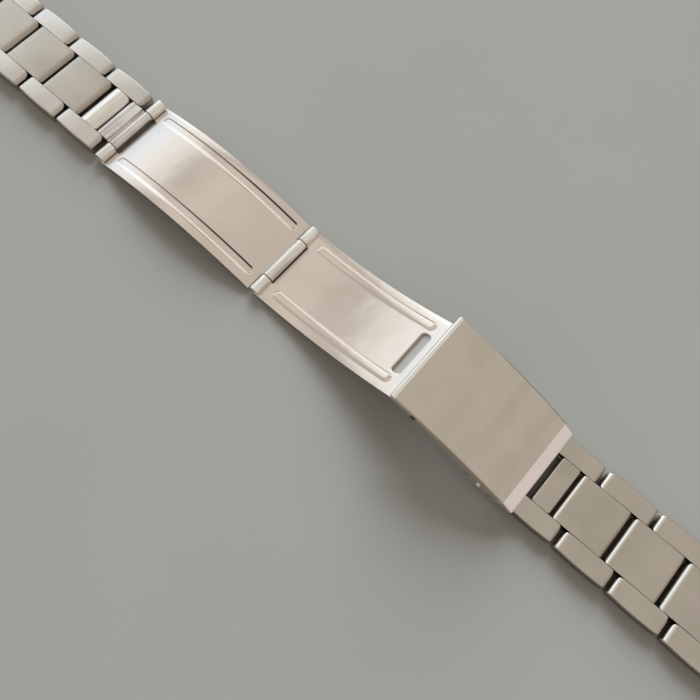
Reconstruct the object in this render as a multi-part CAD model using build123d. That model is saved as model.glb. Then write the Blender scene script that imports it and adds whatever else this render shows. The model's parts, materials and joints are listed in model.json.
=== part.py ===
from build123d import *
from math import acos, asin, atan2, cos, degrees, radians, sin, sqrt
import os

# Folded-link watch bracelet with a two-blade fold-over clasp, lying open on a table.
# Millimetres. +X runs from the blade side to the cover side, +Y across the band, +Z up, table at zero.

# Link rows
link_width = 15.8          # over the row next to the clasp
row_growth = 0.14          # each row further from the clasp is this much wider
centre_width = 8.9
pitch = 10.2
link_height = 2.5
link_sheet = 0.45
link_round = 0.9           # rolled top ends
bar_round = 0.3            # the cover side's spacer bar has nearly square ends
link_underside = 0.4       # eased lower ends
link_corner = 0.5          # eased corners, seen from above
outer_corner = 0.75        # the same on an outer link, beside the centre link
link_gap = 0.55            # between two links in line
side_gap = 0.08            # between a centre link and its outer links
cover_bar_gap = 0.9        # from the strap's barrel to the spacer bar beside the cover
nose = 1.2                 # from a pin's axis to the end of the link rolled round it
outer_crown = 0.2          # bulge of an outer link's free edge
outer_edge_ease = 0.35     # eased top edge on the free side
seam_width = 0.3           # where the folded sheet meets underneath
tie_inset_share = 1.5      # of the sheet, from a link's end to its tie bar
end_seam_share = 2         # of the fold, kept at both ends of an outer link's seam
full_rows = 4              # whole rows on each side, beside the short row at the clasp
pin_clearance = 0.03
pin_recess = 0.05          # hinge pins below the knuckles' ends

# Blades
blade_width = 16.1
blade_sheet = 0.5
blade_a_length = 38.9      # chain hinge to fold hinge
blade_b_length = 36.0      # fold hinge to cover hinge
eye_radius = 1.1
hinge_width = 15.9
hinge_pin_radius = 0.56
hinge_clearance = 0.04
knuckle_gap = 0.15         # between two knuckles on one pin
notch_gap = 0.75           # between the connector's barrel and the blade cut away for it
fold_notch_gap = 0.3       # between the middle knuckle at the fold and the other blade
eye_seam = 0.12
rib_offset = 5.75
rib_width = 1.6            # on the face, where blade B's ribs drop into blade A's channels
rib_height = 0.35
rib_wall = 0.35
rib_end_margin = 3.0       # from a hinge axis to a rib's end
rib_end_share = 0.33       # of a rib's width, cut off its corners
trim_share = 4             # of the eye, reach of the blocks that trim a blade's ends
slot_length = 8.6
slot_width = 1.9
slot_corner = 0.6
slot_inset = 7.1           # slot's middle from the cover hinge

# Cover
cover_radius = 67.4        # outside of the top
cover_width = 17.1
cover_sheet = 0.4
cover_length = 26.8        # lip to free end, along the top
cover_edge_ease = 0.3      # along the top's long sides
cover_eye_radius = 1.0
cover_eye_clearance = 0.1
cover_hinge_inset = 4.5    # from the lip
lip_radius = 0.55
lip_rise = 0.12
bevel_length = 2.6
bevel_turn = 8.0           # degrees that the end strip bends down
wall_depth_lip = 1.6
wall_end_inset = 2.3       # from the free end to the walls' lowest corner
groove_depth = 0.1
groove_width = 0.22
groove_drop = 0.72         # below the top
adjuster_holes = 3
adjuster_pitch = 2.6
adjuster_first = 3.8       # first hole from the free end
adjuster_in_use = 1        # counted from zero
adjuster_drop = 2.9        # holes below the top
hole_clearance = 0.05

# Spring bar and the strap that it holds
bar_tube_radius = 0.75
bar_tip_radius = 0.42
bar_shoulder = 0.35        # from the tube's end to the cover's wall
bar_plunger_length = 3.0
bar_tip_show = 0.2         # tips standing out of the cover's walls
strap_length = 6.3
strap_height = 1.3
strap_barrel_radius = 1.2
barrel_radius = 1.05
barrel_gap = 0.3
end_gap = 0.1

# Short connector between the first row and blade A
connector_length = 3.3
connector_under = 0.55     # from the hinge axes down to the connector's lower face
connector_drop = 0.08      # its flat top below the barrels
connector_groove = 0.3     # between the flat top and the barrel at the blade

# End links
lug_bore_radius = 0.95
lug_bore_distance = 5.15
end_link_clearance = 0.1

# Pose on the table
lip_height = 11.2          # top of the cover at the lip
end_height = 3.05          # top of the cover at the free end
table_gap = 0.05           # fold hinge above the table

overrun = 1.0              # tools reach this far past the work
spare_angle = 2.0          # the same along a bend, degrees
pin_radius = nose - link_sheet - pin_clearance
outer_length = pitch - link_gap
short_pitch = outer_length - 2 * nose
half_height = link_height / 2


def side_prism(face, width, middle=0.0):
    """A face drawn in the XZ plane, made width thick about y = middle."""
    return Pos(0, middle, 0) * extrude(Plane.XZ * face, amount=width / 2, both=True)


def cross_cylinder(x, z, radius, width, middle=0.0):
    """A round shape along Y, for barrels and bores."""
    return Pos(x, middle, z) * Rot(90, 0, 0) * Cylinder(radius, width)


def cross_rod(x, z, radius, width, middle=0.0):
    """A plain pin along Y."""
    upper = ThreePointArc((radius, 0), (0, radius), (-radius, 0))
    lower = ThreePointArc((-radius, 0), (0, -radius), (radius, 0))
    section = Plane.XZ * make_face(upper + lower)
    return Pos(x, middle + width / 2, z) * extrude(section, amount=width, clean=False)


def rolled_outline(x_from, x_to, top_round=link_round):
    """Side view of a link: a flat bar with rolled top ends and eased lower ones, seen along Y."""
    bar = Pos((x_from + x_to) / 2, 0) * Rectangle(x_to - x_from, link_height)
    bar = fillet(bar.vertices().filter_by(lambda v: v.Y > 0), top_round)
    low_corners = bar.vertices().filter_by(lambda v: v.Y < -half_height + link_underside / 2)
    return chamfer(low_corners, link_underside)


def centre_link(x_from, x_to, top_round=link_round):
    """A strip folded round into a flat loop, with its seam underneath."""
    outside = rolled_outline(x_from, x_to, top_round)
    inside = Rectangle(x_to - x_from - 2 * link_sheet, link_height - 2 * link_sheet)
    inside = chamfer(inside.vertices(), link_sheet / 2)
    loop = side_prism(outside - Pos((x_from + x_to) / 2, 0) * inside, centre_width)
    plan = Rectangle(x_to - x_from, centre_width)
    plan = chamfer(plan.vertices(), link_corner)
    plan = Pos((x_from + x_to) / 2, 0, -half_height) * extrude(plan, amount=link_height)
    seam = Box(seam_width, centre_width + overrun, 2 * link_sheet + overrun)
    seam = Pos((x_from + x_to) / 2, 0, -half_height) * seam
    return (loop & plan) - seam


def outer_plan(x_from, x_to, y_in, y_out):
    """An outer link from above: straight beside the centre link, crowned on its free side."""
    middle = (x_from + x_to) / 2
    edge = ThreePointArc((x_to, y_out - outer_crown), (middle, y_out), (x_from, y_out - outer_crown))
    sides = Polyline((x_from, y_out - outer_crown), (x_from, y_in), (x_to, y_in), (x_to, y_out - outer_crown))
    face = make_face(edge + sides)
    return chamfer(face.vertices().filter_by(lambda v: v.Y < (y_in + y_out) / 2), outer_corner)


def outer_link(x_from, x_to, row_width):
    """A link folded over its pins: closed on top, outside and ends, and open towards the centre link."""
    y_in = centre_width / 2 + side_gap
    y_out = row_width / 2
    block = Pos(0, 0, -half_height) * extrude(outer_plan(x_from, x_to, y_in, y_out), amount=link_height)
    profile = side_prism(rolled_outline(x_from, x_to), row_width, row_width / 2)
    section = Plane.YZ * Pos((y_in + y_out) / 2, 0) * Rectangle(y_out - y_in, link_height)
    section = chamfer(section.vertices().sort_by(lambda v: v.Y + v.Z)[-1], outer_edge_ease)
    rail = extrude(Pos(x_from - overrun, 0, 0) * section, amount=x_to - x_from + 2 * overrun)
    wall = pin_reach(row_width)
    fold = nose - pin_radius
    cavity = Pos((x_from + x_to) / 2, (wall + y_in - overrun) / 2, 0) * Box(
        x_to - x_from - 2 * fold, wall - y_in + overrun, 2 * pin_radius
    )
    seam = Pos((x_from + x_to) / 2, (y_in + wall) / 2, -half_height) * Box(
        x_to - x_from - 2 * end_seam_share * fold, seam_width, 2 * fold + overrun
    )
    return (block & profile & rail) - cavity - seam


def pin_reach(row_width):
    """How far from the middle the pins reach, up to the folded outer walls."""
    return row_width / 2 - outer_crown - link_sheet


def row_pins(pins, ties, row_width):
    """What holds a row together: round hinge pins, and square tie bars that stop the links from turning."""
    length = 2 * pin_reach(row_width)
    rods = [cross_rod(x, 0, pin_radius, length) for x in pins]
    bars = [Pos(x, 0, 0) * Box(2 * pin_radius, length, 2 * pin_radius) for x in ties]
    return Compound(children=rods + bars)


def full_row(row_width):
    """Centre link, two outer links, tie bar and hinge pin; the row hangs on the pin at x = 0."""
    centre_end = pitch - nose - link_gap
    tie = centre_end - tie_inset_share * link_sheet - pin_radius - pin_clearance
    outer = outer_link(nose + link_gap, pitch + nose, row_width)
    return {
        "centre_link": centre_link(-nose, centre_end),
        "outer_link_back": outer,
        "outer_link_front": mirror(outer, Plane.XZ),
        "pins": row_pins([pitch], [tie], row_width),
    }


def short_row(row_width, bar_gap, top_round):
    """The row at the clasp: a spacer bar stands where a centre link would, beside the clasp's own barrel."""
    bar_from = barrel_radius + bar_gap
    bar_to = short_pitch - nose - link_gap
    bar_pin = (bar_from + bar_to) / 2
    outer = outer_link(-nose, short_pitch + nose, row_width)
    return {
        "spacer_bar": centre_link(bar_from, bar_to, top_round),
        "outer_link_back": outer,
        "outer_link_front": mirror(outer, Plane.XZ),
        "pins": row_pins([0, short_pitch], [bar_pin], row_width),
    }


def end_link(row_width):
    """The piece at the watch: a tongue on the last pin, and a full-width head bored for a spring bar."""
    width = row_width - end_link_clearance
    head_from = nose + link_gap
    head_to = lug_bore_distance + half_height
    tongue = side_prism(rolled_outline(-nose, head_from + 2 * link_round), centre_width)
    head = side_prism(rolled_outline(head_from, head_to), width)
    body = tongue + head
    body -= cross_cylinder(0, 0, pin_radius + pin_clearance, centre_width + overrun)
    body -= cross_cylinder(lug_bore_distance, 0, lug_bore_radius, width + overrun)
    hollow_from = head_from + link_sheet
    hollow_to = lug_bore_distance - lug_bore_radius - link_sheet
    hollow = Pos((hollow_from + hollow_to) / 2, 0, -half_height) * Box(
        hollow_to - hollow_from, centre_width - 2 * link_sheet, link_height - link_sheet
    )
    return body - hollow


def polar(angle, radius):
    """A point of the XZ plane at an angle in degrees from straight up, towards +X."""
    return radius * sin(radians(angle)), radius * cos(radians(angle))


def sector(angle_from, angle_to, r_in, r_out):
    """Curved strip between two radii about the origin."""
    middle = (angle_from + angle_to) / 2
    outer = ThreePointArc(polar(angle_from, r_out), polar(middle, r_out), polar(angle_to, r_out))
    inner = ThreePointArc(polar(angle_to, r_in), polar(middle, r_in), polar(angle_from, r_in))
    start = Line(polar(angle_from, r_in), polar(angle_from, r_out))
    end = Line(polar(angle_to, r_out), polar(angle_to, r_in))
    return make_face([outer, inner, start, end])


def rib(angle_from, angle_to, r_in, r_out, width, y):
    """Long rib with tapered ends, bent with its blade."""
    start, end = polar(angle_from, r_in)[0], polar(angle_to, r_in)[0]
    plan = Rectangle(end - start, width)
    plan = chamfer(plan.vertices(), rib_end_share * width)
    plan = Pos((start + end) / 2, y, 0) * extrude(plan, amount=r_out + overrun)
    return plan & side_prism(sector(angle_from - spare_angle, angle_to + spare_angle, r_in, r_out), width, y)


def emboss(blade, angle_from, angle_to, face_radius, back_radius, width):
    """Two long ribs pressed out of a blade's face, hollow behind."""
    outward = 1 if face_radius > back_radius else -1
    middle = (face_radius + back_radius) / 2
    crest = face_radius + outward * rib_height
    floor = back_radius + outward * rib_height
    below = back_radius - outward * rib_height
    inset = degrees(rib_wall / middle)
    for y in (-rib_offset, rib_offset):
        blade += rib(angle_from, angle_to, min(middle, crest), max(middle, crest), width, y)
        hollow = sector(angle_from + inset, angle_to - inset, min(below, floor), max(below, floor))
        blade -= side_prism(hollow, width - 2 * rib_wall, y)
    return blade


def knuckle(angle, axis_radius, radius, bore, width, middle, seam_side):
    """A rolled eye with the slit where its curl ends."""
    x, z = polar(angle, axis_radius)
    eye = cross_cylinder(x, z, radius, width, middle) - cross_cylinder(x, z, bore, width + overrun, middle)
    slit = Pos(seam_side * radius, 0, 0) * Box(radius, width + overrun, eye_seam)
    return eye - Pos(x, middle, z) * Rot(0, angle, 0) * slit


# Blade A, drawn about its centre of curvature: both hinges on one radius, sheet under the eyes
cover_eye_top = cover_radius - cover_sheet - cover_eye_clearance
a_axis_radius = cover_eye_top - 2 * cover_eye_radius + blade_sheet - eye_radius
a_half_angle = degrees(asin(blade_a_length / 2 / a_axis_radius))
a_inside = a_axis_radius - eye_radius
a_outside = a_inside + blade_sheet


def trim(angle, keep_from, y_middle, y_width):
    """A block that cuts a blade away beyond an angle, over part of its width."""
    reach = trim_share * eye_radius
    x, z = polar(angle, a_axis_radius)
    side = 1 if keep_from > 0 else -1
    return Pos(x, y_middle, z) * Rot(0, angle, 0) * Pos(side * reach / 2, 0, 0) * Box(reach, y_width, reach)


def blade_a():
    """Convex blade: two outer knuckles at the links, a long middle one at the fold, channels in its face."""
    body = side_prism(sector(-a_half_angle, a_half_angle, a_inside, a_outside), blade_width)
    rib_angle = a_half_angle - degrees(rib_end_margin / a_axis_radius)
    body = emboss(body, -rib_angle, rib_angle, a_inside, a_outside, rib_width + 2 * rib_wall)
    notch = degrees((barrel_radius + notch_gap) / a_axis_radius)
    body -= trim(-a_half_angle + notch, -1, 0, centre_width + 2 * knuckle_gap)
    step = degrees((eye_radius + knuckle_gap) / a_axis_radius)
    side_width = (blade_width - centre_width) / 2
    side_middle = (blade_width + centre_width) / 4
    for side in (-1, 1):
        body -= trim(a_half_angle - step, 1, side * side_middle, side_width)
    outer_width = (hinge_width - centre_width) / 2 - knuckle_gap
    for side in (-1, 1):
        middle = side * (hinge_width - outer_width) / 2
        body += knuckle(-a_half_angle, a_axis_radius, eye_radius, hinge_pin_radius, outer_width, middle, 1)
    x, z = polar(-a_half_angle, a_axis_radius)
    body -= cross_cylinder(x, z, hinge_pin_radius, hinge_width + overrun)
    bore = hinge_pin_radius + hinge_clearance
    body += knuckle(a_half_angle, a_axis_radius, eye_radius, bore, centre_width, 0, -1)
    x, z = polar(a_half_angle, a_axis_radius)
    return body - cross_cylinder(x, z, bore, centre_width + overrun)


# Blade B, drawn about its centre of curvature: the sheet passes outside the fold eye and inside the cover eye
b_fold_radius = a_axis_radius
b_outside = b_fold_radius + eye_radius
b_inside = b_outside - blade_sheet
b_cover_radius = b_inside + cover_eye_radius
b_angle = degrees(
    acos((b_fold_radius**2 + b_cover_radius**2 - blade_b_length**2) / (2 * b_fold_radius * b_cover_radius))
)


def blade_b():
    """Blade between the fold and the cover: two outer knuckles, ribs, and a crosswise slot."""
    body = side_prism(sector(0, b_angle, b_inside, b_outside), blade_width)
    slot_angle = degrees(slot_inset / b_inside)
    rib_to = degrees(rib_end_margin / b_inside)
    body = emboss(body, slot_angle, b_angle - rib_to, b_inside, b_outside, rib_width)
    x, z = polar(slot_angle, b_inside)
    opening = extrude(RectangleRounded(slot_width, slot_length, slot_corner), amount=2 * overrun, both=True)
    body -= Pos(x, 0, z) * Rot(0, slot_angle, 0) * opening
    notch = degrees((eye_radius + fold_notch_gap) / b_inside)
    body -= trim(b_angle - notch, 1, 0, centre_width + 2 * knuckle_gap)
    outer_width = (hinge_width - centre_width) / 2 - knuckle_gap
    for side in (-1, 1):
        middle = side * (hinge_width - outer_width) / 2
        body += knuckle(b_angle, b_fold_radius, eye_radius, hinge_pin_radius, outer_width, middle, -1)
    x, z = polar(b_angle, b_fold_radius)
    body -= cross_cylinder(x, z, hinge_pin_radius, hinge_width + overrun)
    bore = hinge_pin_radius + hinge_clearance
    body += knuckle(0, b_cover_radius, cover_eye_radius, bore, hinge_width, 0, 1)
    return body - cross_cylinder(0, b_cover_radius, bore, hinge_width + overrun)


# Cover, drawn about the centre of its top's curvature, crown straight up
lip_angle = -degrees(cover_length / 2 / cover_radius)
knee_angle = degrees((cover_length / 2 - bevel_length) / cover_radius)
inner_radius = cover_radius - cover_sheet
knee = polar(knee_angle, cover_radius)
bevel_angle = radians(knee_angle + bevel_turn)
cover_end = (knee[0] + bevel_length * cos(bevel_angle), knee[1] - bevel_length * sin(bevel_angle))
lip = polar(lip_angle, cover_radius)
cover_span = sqrt((cover_end[0] - lip[0]) ** 2 + (cover_end[1] - lip[1]) ** 2)
cover_fall = atan2(lip[1] - cover_end[1], cover_end[0] - lip[0])
cover_tilt = degrees(asin((lip_height - end_height) / cover_span) - cover_fall)
cover_z = lip_height - cover_radius * cos(radians(lip_angle + cover_tilt))
wall_end_angle = -lip_angle - degrees(wall_end_inset / cover_radius)
wall_depth_end = cover_radius + cover_z / cos(radians(wall_end_angle + cover_tilt))
cover_hinge_angle = lip_angle + degrees(cover_hinge_inset / cover_radius)
cover_hinge = polar(cover_hinge_angle, b_cover_radius)


def adjuster_axis(index):
    angle = -lip_angle - degrees((adjuster_first + index * adjuster_pitch) / cover_radius)
    return polar(angle, cover_radius - adjuster_drop)


def cover_outline(top_inset):
    """Side view of the cover between its top, lowered by top_inset, and the walls' lower edges."""
    r = cover_radius - top_inset
    start = polar(lip_angle, r)
    bend = polar(knee_angle, r)
    end = (cover_end[0] - top_inset * sin(bevel_angle), cover_end[1] - top_inset * cos(bevel_angle))
    low_start = polar(lip_angle, cover_radius - wall_depth_lip)
    corner = polar(wall_end_angle, cover_radius - wall_depth_end)
    top = ThreePointArc(start, polar((lip_angle + knee_angle) / 2, r), bend)
    rest = Polyline(bend, end, corner, low_start, start)
    return make_face(top + rest)


def cover():
    """Arched cover folded from sheet: side walls, rolled lip, bent-down end strip, row of adjuster holes."""
    shell = side_prism(cover_outline(0), cover_width)
    long_edges = shell.edges().filter_by(lambda e: abs(abs(e.center().Y) - cover_width / 2) < cover_sheet / 2)
    top_edges = long_edges.sort_by(lambda e: e.center().Z)[-2:]
    shell = chamfer(top_edges, cover_edge_ease)
    inner_width = cover_width - 2 * cover_sheet
    hollow = side_prism(cover_outline(cover_sheet), inner_width)
    shell -= hollow
    groove_top = cover_radius - groove_drop
    groove = sector(lip_angle, knee_angle, groove_top - groove_width, groove_top)
    for side in (-1, 1):
        shell -= side_prism(groove, 2 * groove_depth, side * cover_width / 2)
    lip_x, lip_z = polar(lip_angle, cover_radius + lip_rise - lip_radius)
    shell += cross_cylinder(lip_x, lip_z, lip_radius, cover_width)
    for index in range(adjuster_holes):
        shell -= cross_cylinder(*adjuster_axis(index), bar_tip_radius + hole_clearance, cover_width + overrun)
    return shell - cross_cylinder(*cover_hinge, hinge_pin_radius, cover_width + overrun)


def connector():
    """Folded double barrel between blade A and the first row."""
    body = cross_cylinder(0, 0, barrel_radius, centre_width)
    body += cross_cylinder(-connector_length, 0, barrel_radius, centre_width)
    body += Pos(-connector_length / 2, 0, 0) * Box(connector_length, centre_width, 2 * connector_under)
    top_to = -barrel_radius - connector_groove
    top_height = barrel_radius - connector_drop
    body += Pos((top_to - connector_length) / 2, 0, top_height / 2) * Box(
        top_to + connector_length, centre_width, top_height
    )
    for x, pin in ((0, hinge_pin_radius), (-connector_length, pin_radius)):
        body -= cross_cylinder(x, 0, pin + hinge_clearance, centre_width + overrun)
    return body


def adjuster_strap():
    """Strap under the cover: a full-width tube on the spring bar and a barrel on the first row's pin."""
    tube_width = cover_width - 2 * cover_sheet - 2 * end_gap
    body = cross_cylinder(0, 0, strap_barrel_radius, tube_width)
    body += Pos(strap_length / 2, 0, 0) * Box(strap_length, centre_width, strap_height)
    body += cross_cylinder(strap_length, 0, barrel_radius, centre_width)
    body -= cross_cylinder(0, 0, bar_tube_radius + hinge_clearance, tube_width + overrun)
    return body - cross_cylinder(strap_length, 0, pin_radius + hinge_clearance, centre_width + overrun)


def spring_bar():
    """Tube, two tips that slide in it, and the spring between them, along Y."""
    inner_width = cover_width - 2 * cover_sheet
    tube_length = inner_width - 2 * bar_shoulder
    bore = bar_tip_radius + pin_clearance
    tube = cross_cylinder(0, 0, bar_tube_radius, tube_length)
    tube -= cross_cylinder(0, 0, bore, tube_length + overrun)
    tip_end = cover_width / 2 + bar_tip_show
    tip_length = tip_end - tube_length / 2
    tips = {}
    for name, side in (("back", 1), ("front", -1)):
        middle = side * (tip_end + tube_length / 2 - bar_plunger_length) / 2
        tips[name] = cross_rod(0, 0, bar_tip_radius, tip_length + bar_plunger_length, middle)
    spring_length = tube_length - 2 * bar_plunger_length
    spring = cross_rod(0, 0, bar_tip_radius, spring_length)
    return tube, tips, spring


def turned(point, angle):
    """A point of the XZ plane turned about Y, positive lowering +X."""
    x, z = point
    c, s = cos(radians(angle)), sin(radians(angle))
    return x * c + z * s, z * c - x * s


# Places on the table, measured first from the cover's centre of curvature
bar_x, bar_z = turned(adjuster_axis(adjuster_in_use), cover_tilt)
bar_z += cover_z
hinge_x, hinge_z = turned(cover_hinge, cover_tilt)
hinge_z += cover_z
fold_z = eye_radius + table_gap
blade_b_rise = degrees(asin((hinge_z - fold_z) / blade_b_length))
fold_x = hinge_x - blade_b_length * cos(radians(blade_b_rise))
blade_a_fall = degrees(asin((half_height - fold_z) / blade_a_length))
chain_x = fold_x - blade_a_length * cos(radians(blade_a_fall))
left_start = chain_x - connector_length
right_start = bar_x + sqrt(strap_length**2 - (bar_z - half_height) ** 2)
strap_drop = degrees(asin((bar_z - half_height) / strap_length))
chain_reach = short_pitch + full_rows * pitch + lug_bore_distance + half_height
centre_x = (left_start - chain_reach + right_start + chain_reach) / 2


def place_chain(parts, side, start, facing, bar_gap, top_round):
    """Rows outwards from the clasp, then the end link."""
    x = start
    for row in range(full_rows + 1):
        width = link_width + row * row_growth
        pieces = short_row(width, bar_gap, top_round) if row == 0 else full_row(width)
        for name, piece in pieces.items():
            parts[f"{side}_{row}_{name}"] = Pos(x, 0, half_height) * Rot(0, 0, facing) * piece
        x += (short_pitch if row == 0 else pitch) * cos(radians(facing))
    last = end_link(link_width + (full_rows + 1) * row_growth)
    parts[f"{side}_end_link"] = Pos(x, 0, half_height) * Rot(0, 0, facing) * last


def place_clasp(parts):
    turn = Pos(-centre_x, 0, cover_z) * Rot(0, cover_tilt, 0)
    parts["clasp_cover"] = turn * cover()
    parts["cover_hinge_pin"] = turn * cross_rod(*cover_hinge, hinge_pin_radius, cover_width)
    hinge_at = Pos(hinge_x - centre_x, 0, hinge_z)
    fold_at = Pos(fold_x - centre_x, 0, fold_z)
    chain_at = Pos(chain_x - centre_x, 0, half_height)
    fold_point = polar(b_angle, b_fold_radius)
    to_fold = degrees(atan2(fold_point[1] - b_cover_radius, fold_point[0]))
    flip = 180 - blade_b_rise + to_fold
    parts["cover_side_blade"] = hinge_at * Rot(0, flip, 0) * Pos(0, 0, -b_cover_radius) * blade_b()
    fold_a = polar(a_half_angle, a_axis_radius)
    parts["chain_side_blade"] = fold_at * Rot(0, blade_a_fall, 0) * Pos(-fold_a[0], 0, -fold_a[1]) * blade_a()
    pin_width = hinge_width - 2 * pin_recess
    parts["fold_hinge_pin"] = fold_at * cross_rod(0, 0, hinge_pin_radius, pin_width)
    parts["chain_hinge_pin"] = chain_at * cross_rod(0, 0, hinge_pin_radius, pin_width)
    parts["connector"] = chain_at * connector()
    bar_at = Pos(bar_x - centre_x, 0, bar_z)
    parts["adjuster_strap"] = bar_at * Rot(0, strap_drop, 0) * adjuster_strap()
    tube, tips, spring = spring_bar()
    parts["spring_bar_tube"] = bar_at * tube
    parts["spring_bar_spring"] = bar_at * spring
    for name, tip in tips.items():
        parts[f"spring_bar_tip_{name}"] = bar_at * tip


def build():
    parts = {}
    place_clasp(parts)
    place_chain(parts, "left", left_start - centre_x, 180, barrel_gap, link_round)
    place_chain(parts, "right", right_start - centre_x, 0, cover_bar_gap, bar_round)
    return parts


os.makedirs("parts", exist_ok=True)
for part_name, part in build().items():
    export_step(part, f"parts/{part_name}.step")
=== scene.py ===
import bpy
import bmesh
import json
from math import asin, atan2, cos, degrees, hypot, pi, radians, sin, sqrt
from mathutils import Matrix, Vector


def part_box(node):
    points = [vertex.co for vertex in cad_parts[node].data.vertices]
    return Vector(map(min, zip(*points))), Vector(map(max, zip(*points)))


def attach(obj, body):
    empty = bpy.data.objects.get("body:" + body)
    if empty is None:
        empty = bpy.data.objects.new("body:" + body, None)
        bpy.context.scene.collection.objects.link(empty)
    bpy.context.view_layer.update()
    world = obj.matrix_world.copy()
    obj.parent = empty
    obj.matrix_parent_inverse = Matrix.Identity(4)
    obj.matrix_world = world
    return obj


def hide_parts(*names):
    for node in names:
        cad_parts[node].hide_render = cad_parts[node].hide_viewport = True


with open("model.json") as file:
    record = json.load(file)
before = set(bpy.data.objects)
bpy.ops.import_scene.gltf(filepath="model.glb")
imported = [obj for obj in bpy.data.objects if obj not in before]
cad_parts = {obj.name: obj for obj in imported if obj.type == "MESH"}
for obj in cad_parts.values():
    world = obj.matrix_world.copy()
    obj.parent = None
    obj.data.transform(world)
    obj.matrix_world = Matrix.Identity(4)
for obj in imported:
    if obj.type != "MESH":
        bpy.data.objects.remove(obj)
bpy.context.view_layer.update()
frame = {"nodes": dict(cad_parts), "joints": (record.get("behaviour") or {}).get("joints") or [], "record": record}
print("frame loaded:", len(frame["nodes"]), "nodes")

mm = 0.001
record = frame["record"]
pivots = {j["name"]: (j["pos_m"][0] / mm, j["pos_m"][2] / mm) for j in frame["joints"]}  # x and z of each hinge
bodyOf = {node: body for body, nodes in record["behaviour"]["bodies"].items() for node in nodes}


class Wire:  # one shader value, so that sums read as sums
    def __init__(self, paint, socket):
        self.paint = paint
        self.socket = socket

    def calc(self, kind, a, b=0.0):
        node = self.paint.node("ShaderNodeMath", {"operation": kind}, {0: a, 1: b})
        return Wire(self.paint, node.outputs[0])

    def __add__(self, other):
        return self.calc("ADD", self, other)

    def __radd__(self, other):
        return self.calc("ADD", other, self)

    def __sub__(self, other):
        return self.calc("SUBTRACT", self, other)

    def __rsub__(self, other):
        return self.calc("SUBTRACT", other, self)

    def __mul__(self, other):
        return self.calc("MULTIPLY", self, other)

    def __rmul__(self, other):
        return self.calc("MULTIPLY", other, self)

    def clamp(self):
        return self.calc("MINIMUM", self.calc("MAXIMUM", self, 0.0), 1.0)


class Paint:  # the node tree of a material or of the world
    def __init__(self, owner):
        self.owner = owner
        owner.use_nodes = True
        self.tree = owner.node_tree
        self.tree.nodes.clear()
        self.texture = self.node("ShaderNodeTexCoord")
        self.place = Wire(self, self.texture.outputs["Object"])

    def node(self, kind, settings=None, inputs=None):
        made = self.tree.nodes.new(kind)
        for key, value in (settings or {}).items():
            setattr(made, key, value)
        for key, value in (inputs or {}).items():
            if isinstance(value, Wire):
                self.tree.links.new(value.socket, made.inputs[key])
            else:
                made.inputs[key].default_value = value
        return made

    def stretched(self, factors):  # object place in millimetres, scaled along each axis
        scale = [factor / mm for factor in factors]
        node = self.node("ShaderNodeVectorMath", {"operation": "MULTIPLY"}, {0: self.place, 1: scale})
        return Wire(self, node.outputs[0])

    def noise(self, factors, detail=3.0, rough=0.5):
        inputs = {"Vector": self.stretched(factors), "Scale": 1.0, "Detail": detail, "Roughness": rough}
        return Wire(self, self.node("ShaderNodeTexNoise", None, inputs).outputs["Fac"])

    def mix(self, factor, low, high):
        low, high = [(*end, 1) if isinstance(end, tuple) else end for end in (low, high)]
        node = self.node("ShaderNodeMix", {"data_type": "RGBA"}, {"Factor": factor, "A": low, "B": high})
        return Wire(self, node.outputs["Result"])

    def split(self, vector, axis):
        return Wire(self, self.node("ShaderNodeSeparateXYZ", None, {0: vector}).outputs[axis])

    def mark(self, name):  # a number kept on the mesh's points
        return Wire(self, self.node("ShaderNodeAttribute", {"attribute_name": name}).outputs["Fac"])

    def unsigned(self, value):
        return Wire(self, self.node("ShaderNodeMath", {"operation": "ABSOLUTE"}, {0: value}).outputs[0])

    def bump(self, height, strength, distance):
        inputs = {"Height": height, "Strength": strength, "Distance": distance * mm}
        return Wire(self, self.node("ShaderNodeBump", None, inputs).outputs["Normal"])

    def finish(self, **inputs):
        named = {key.replace("_", " "): value for key, value in inputs.items()}
        shader = self.node("ShaderNodeBsdfPrincipled", None, named)
        self.node("ShaderNodeOutputMaterial", None, {"Surface": Wire(self, shader.outputs[0])})
        return self.owner


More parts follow.
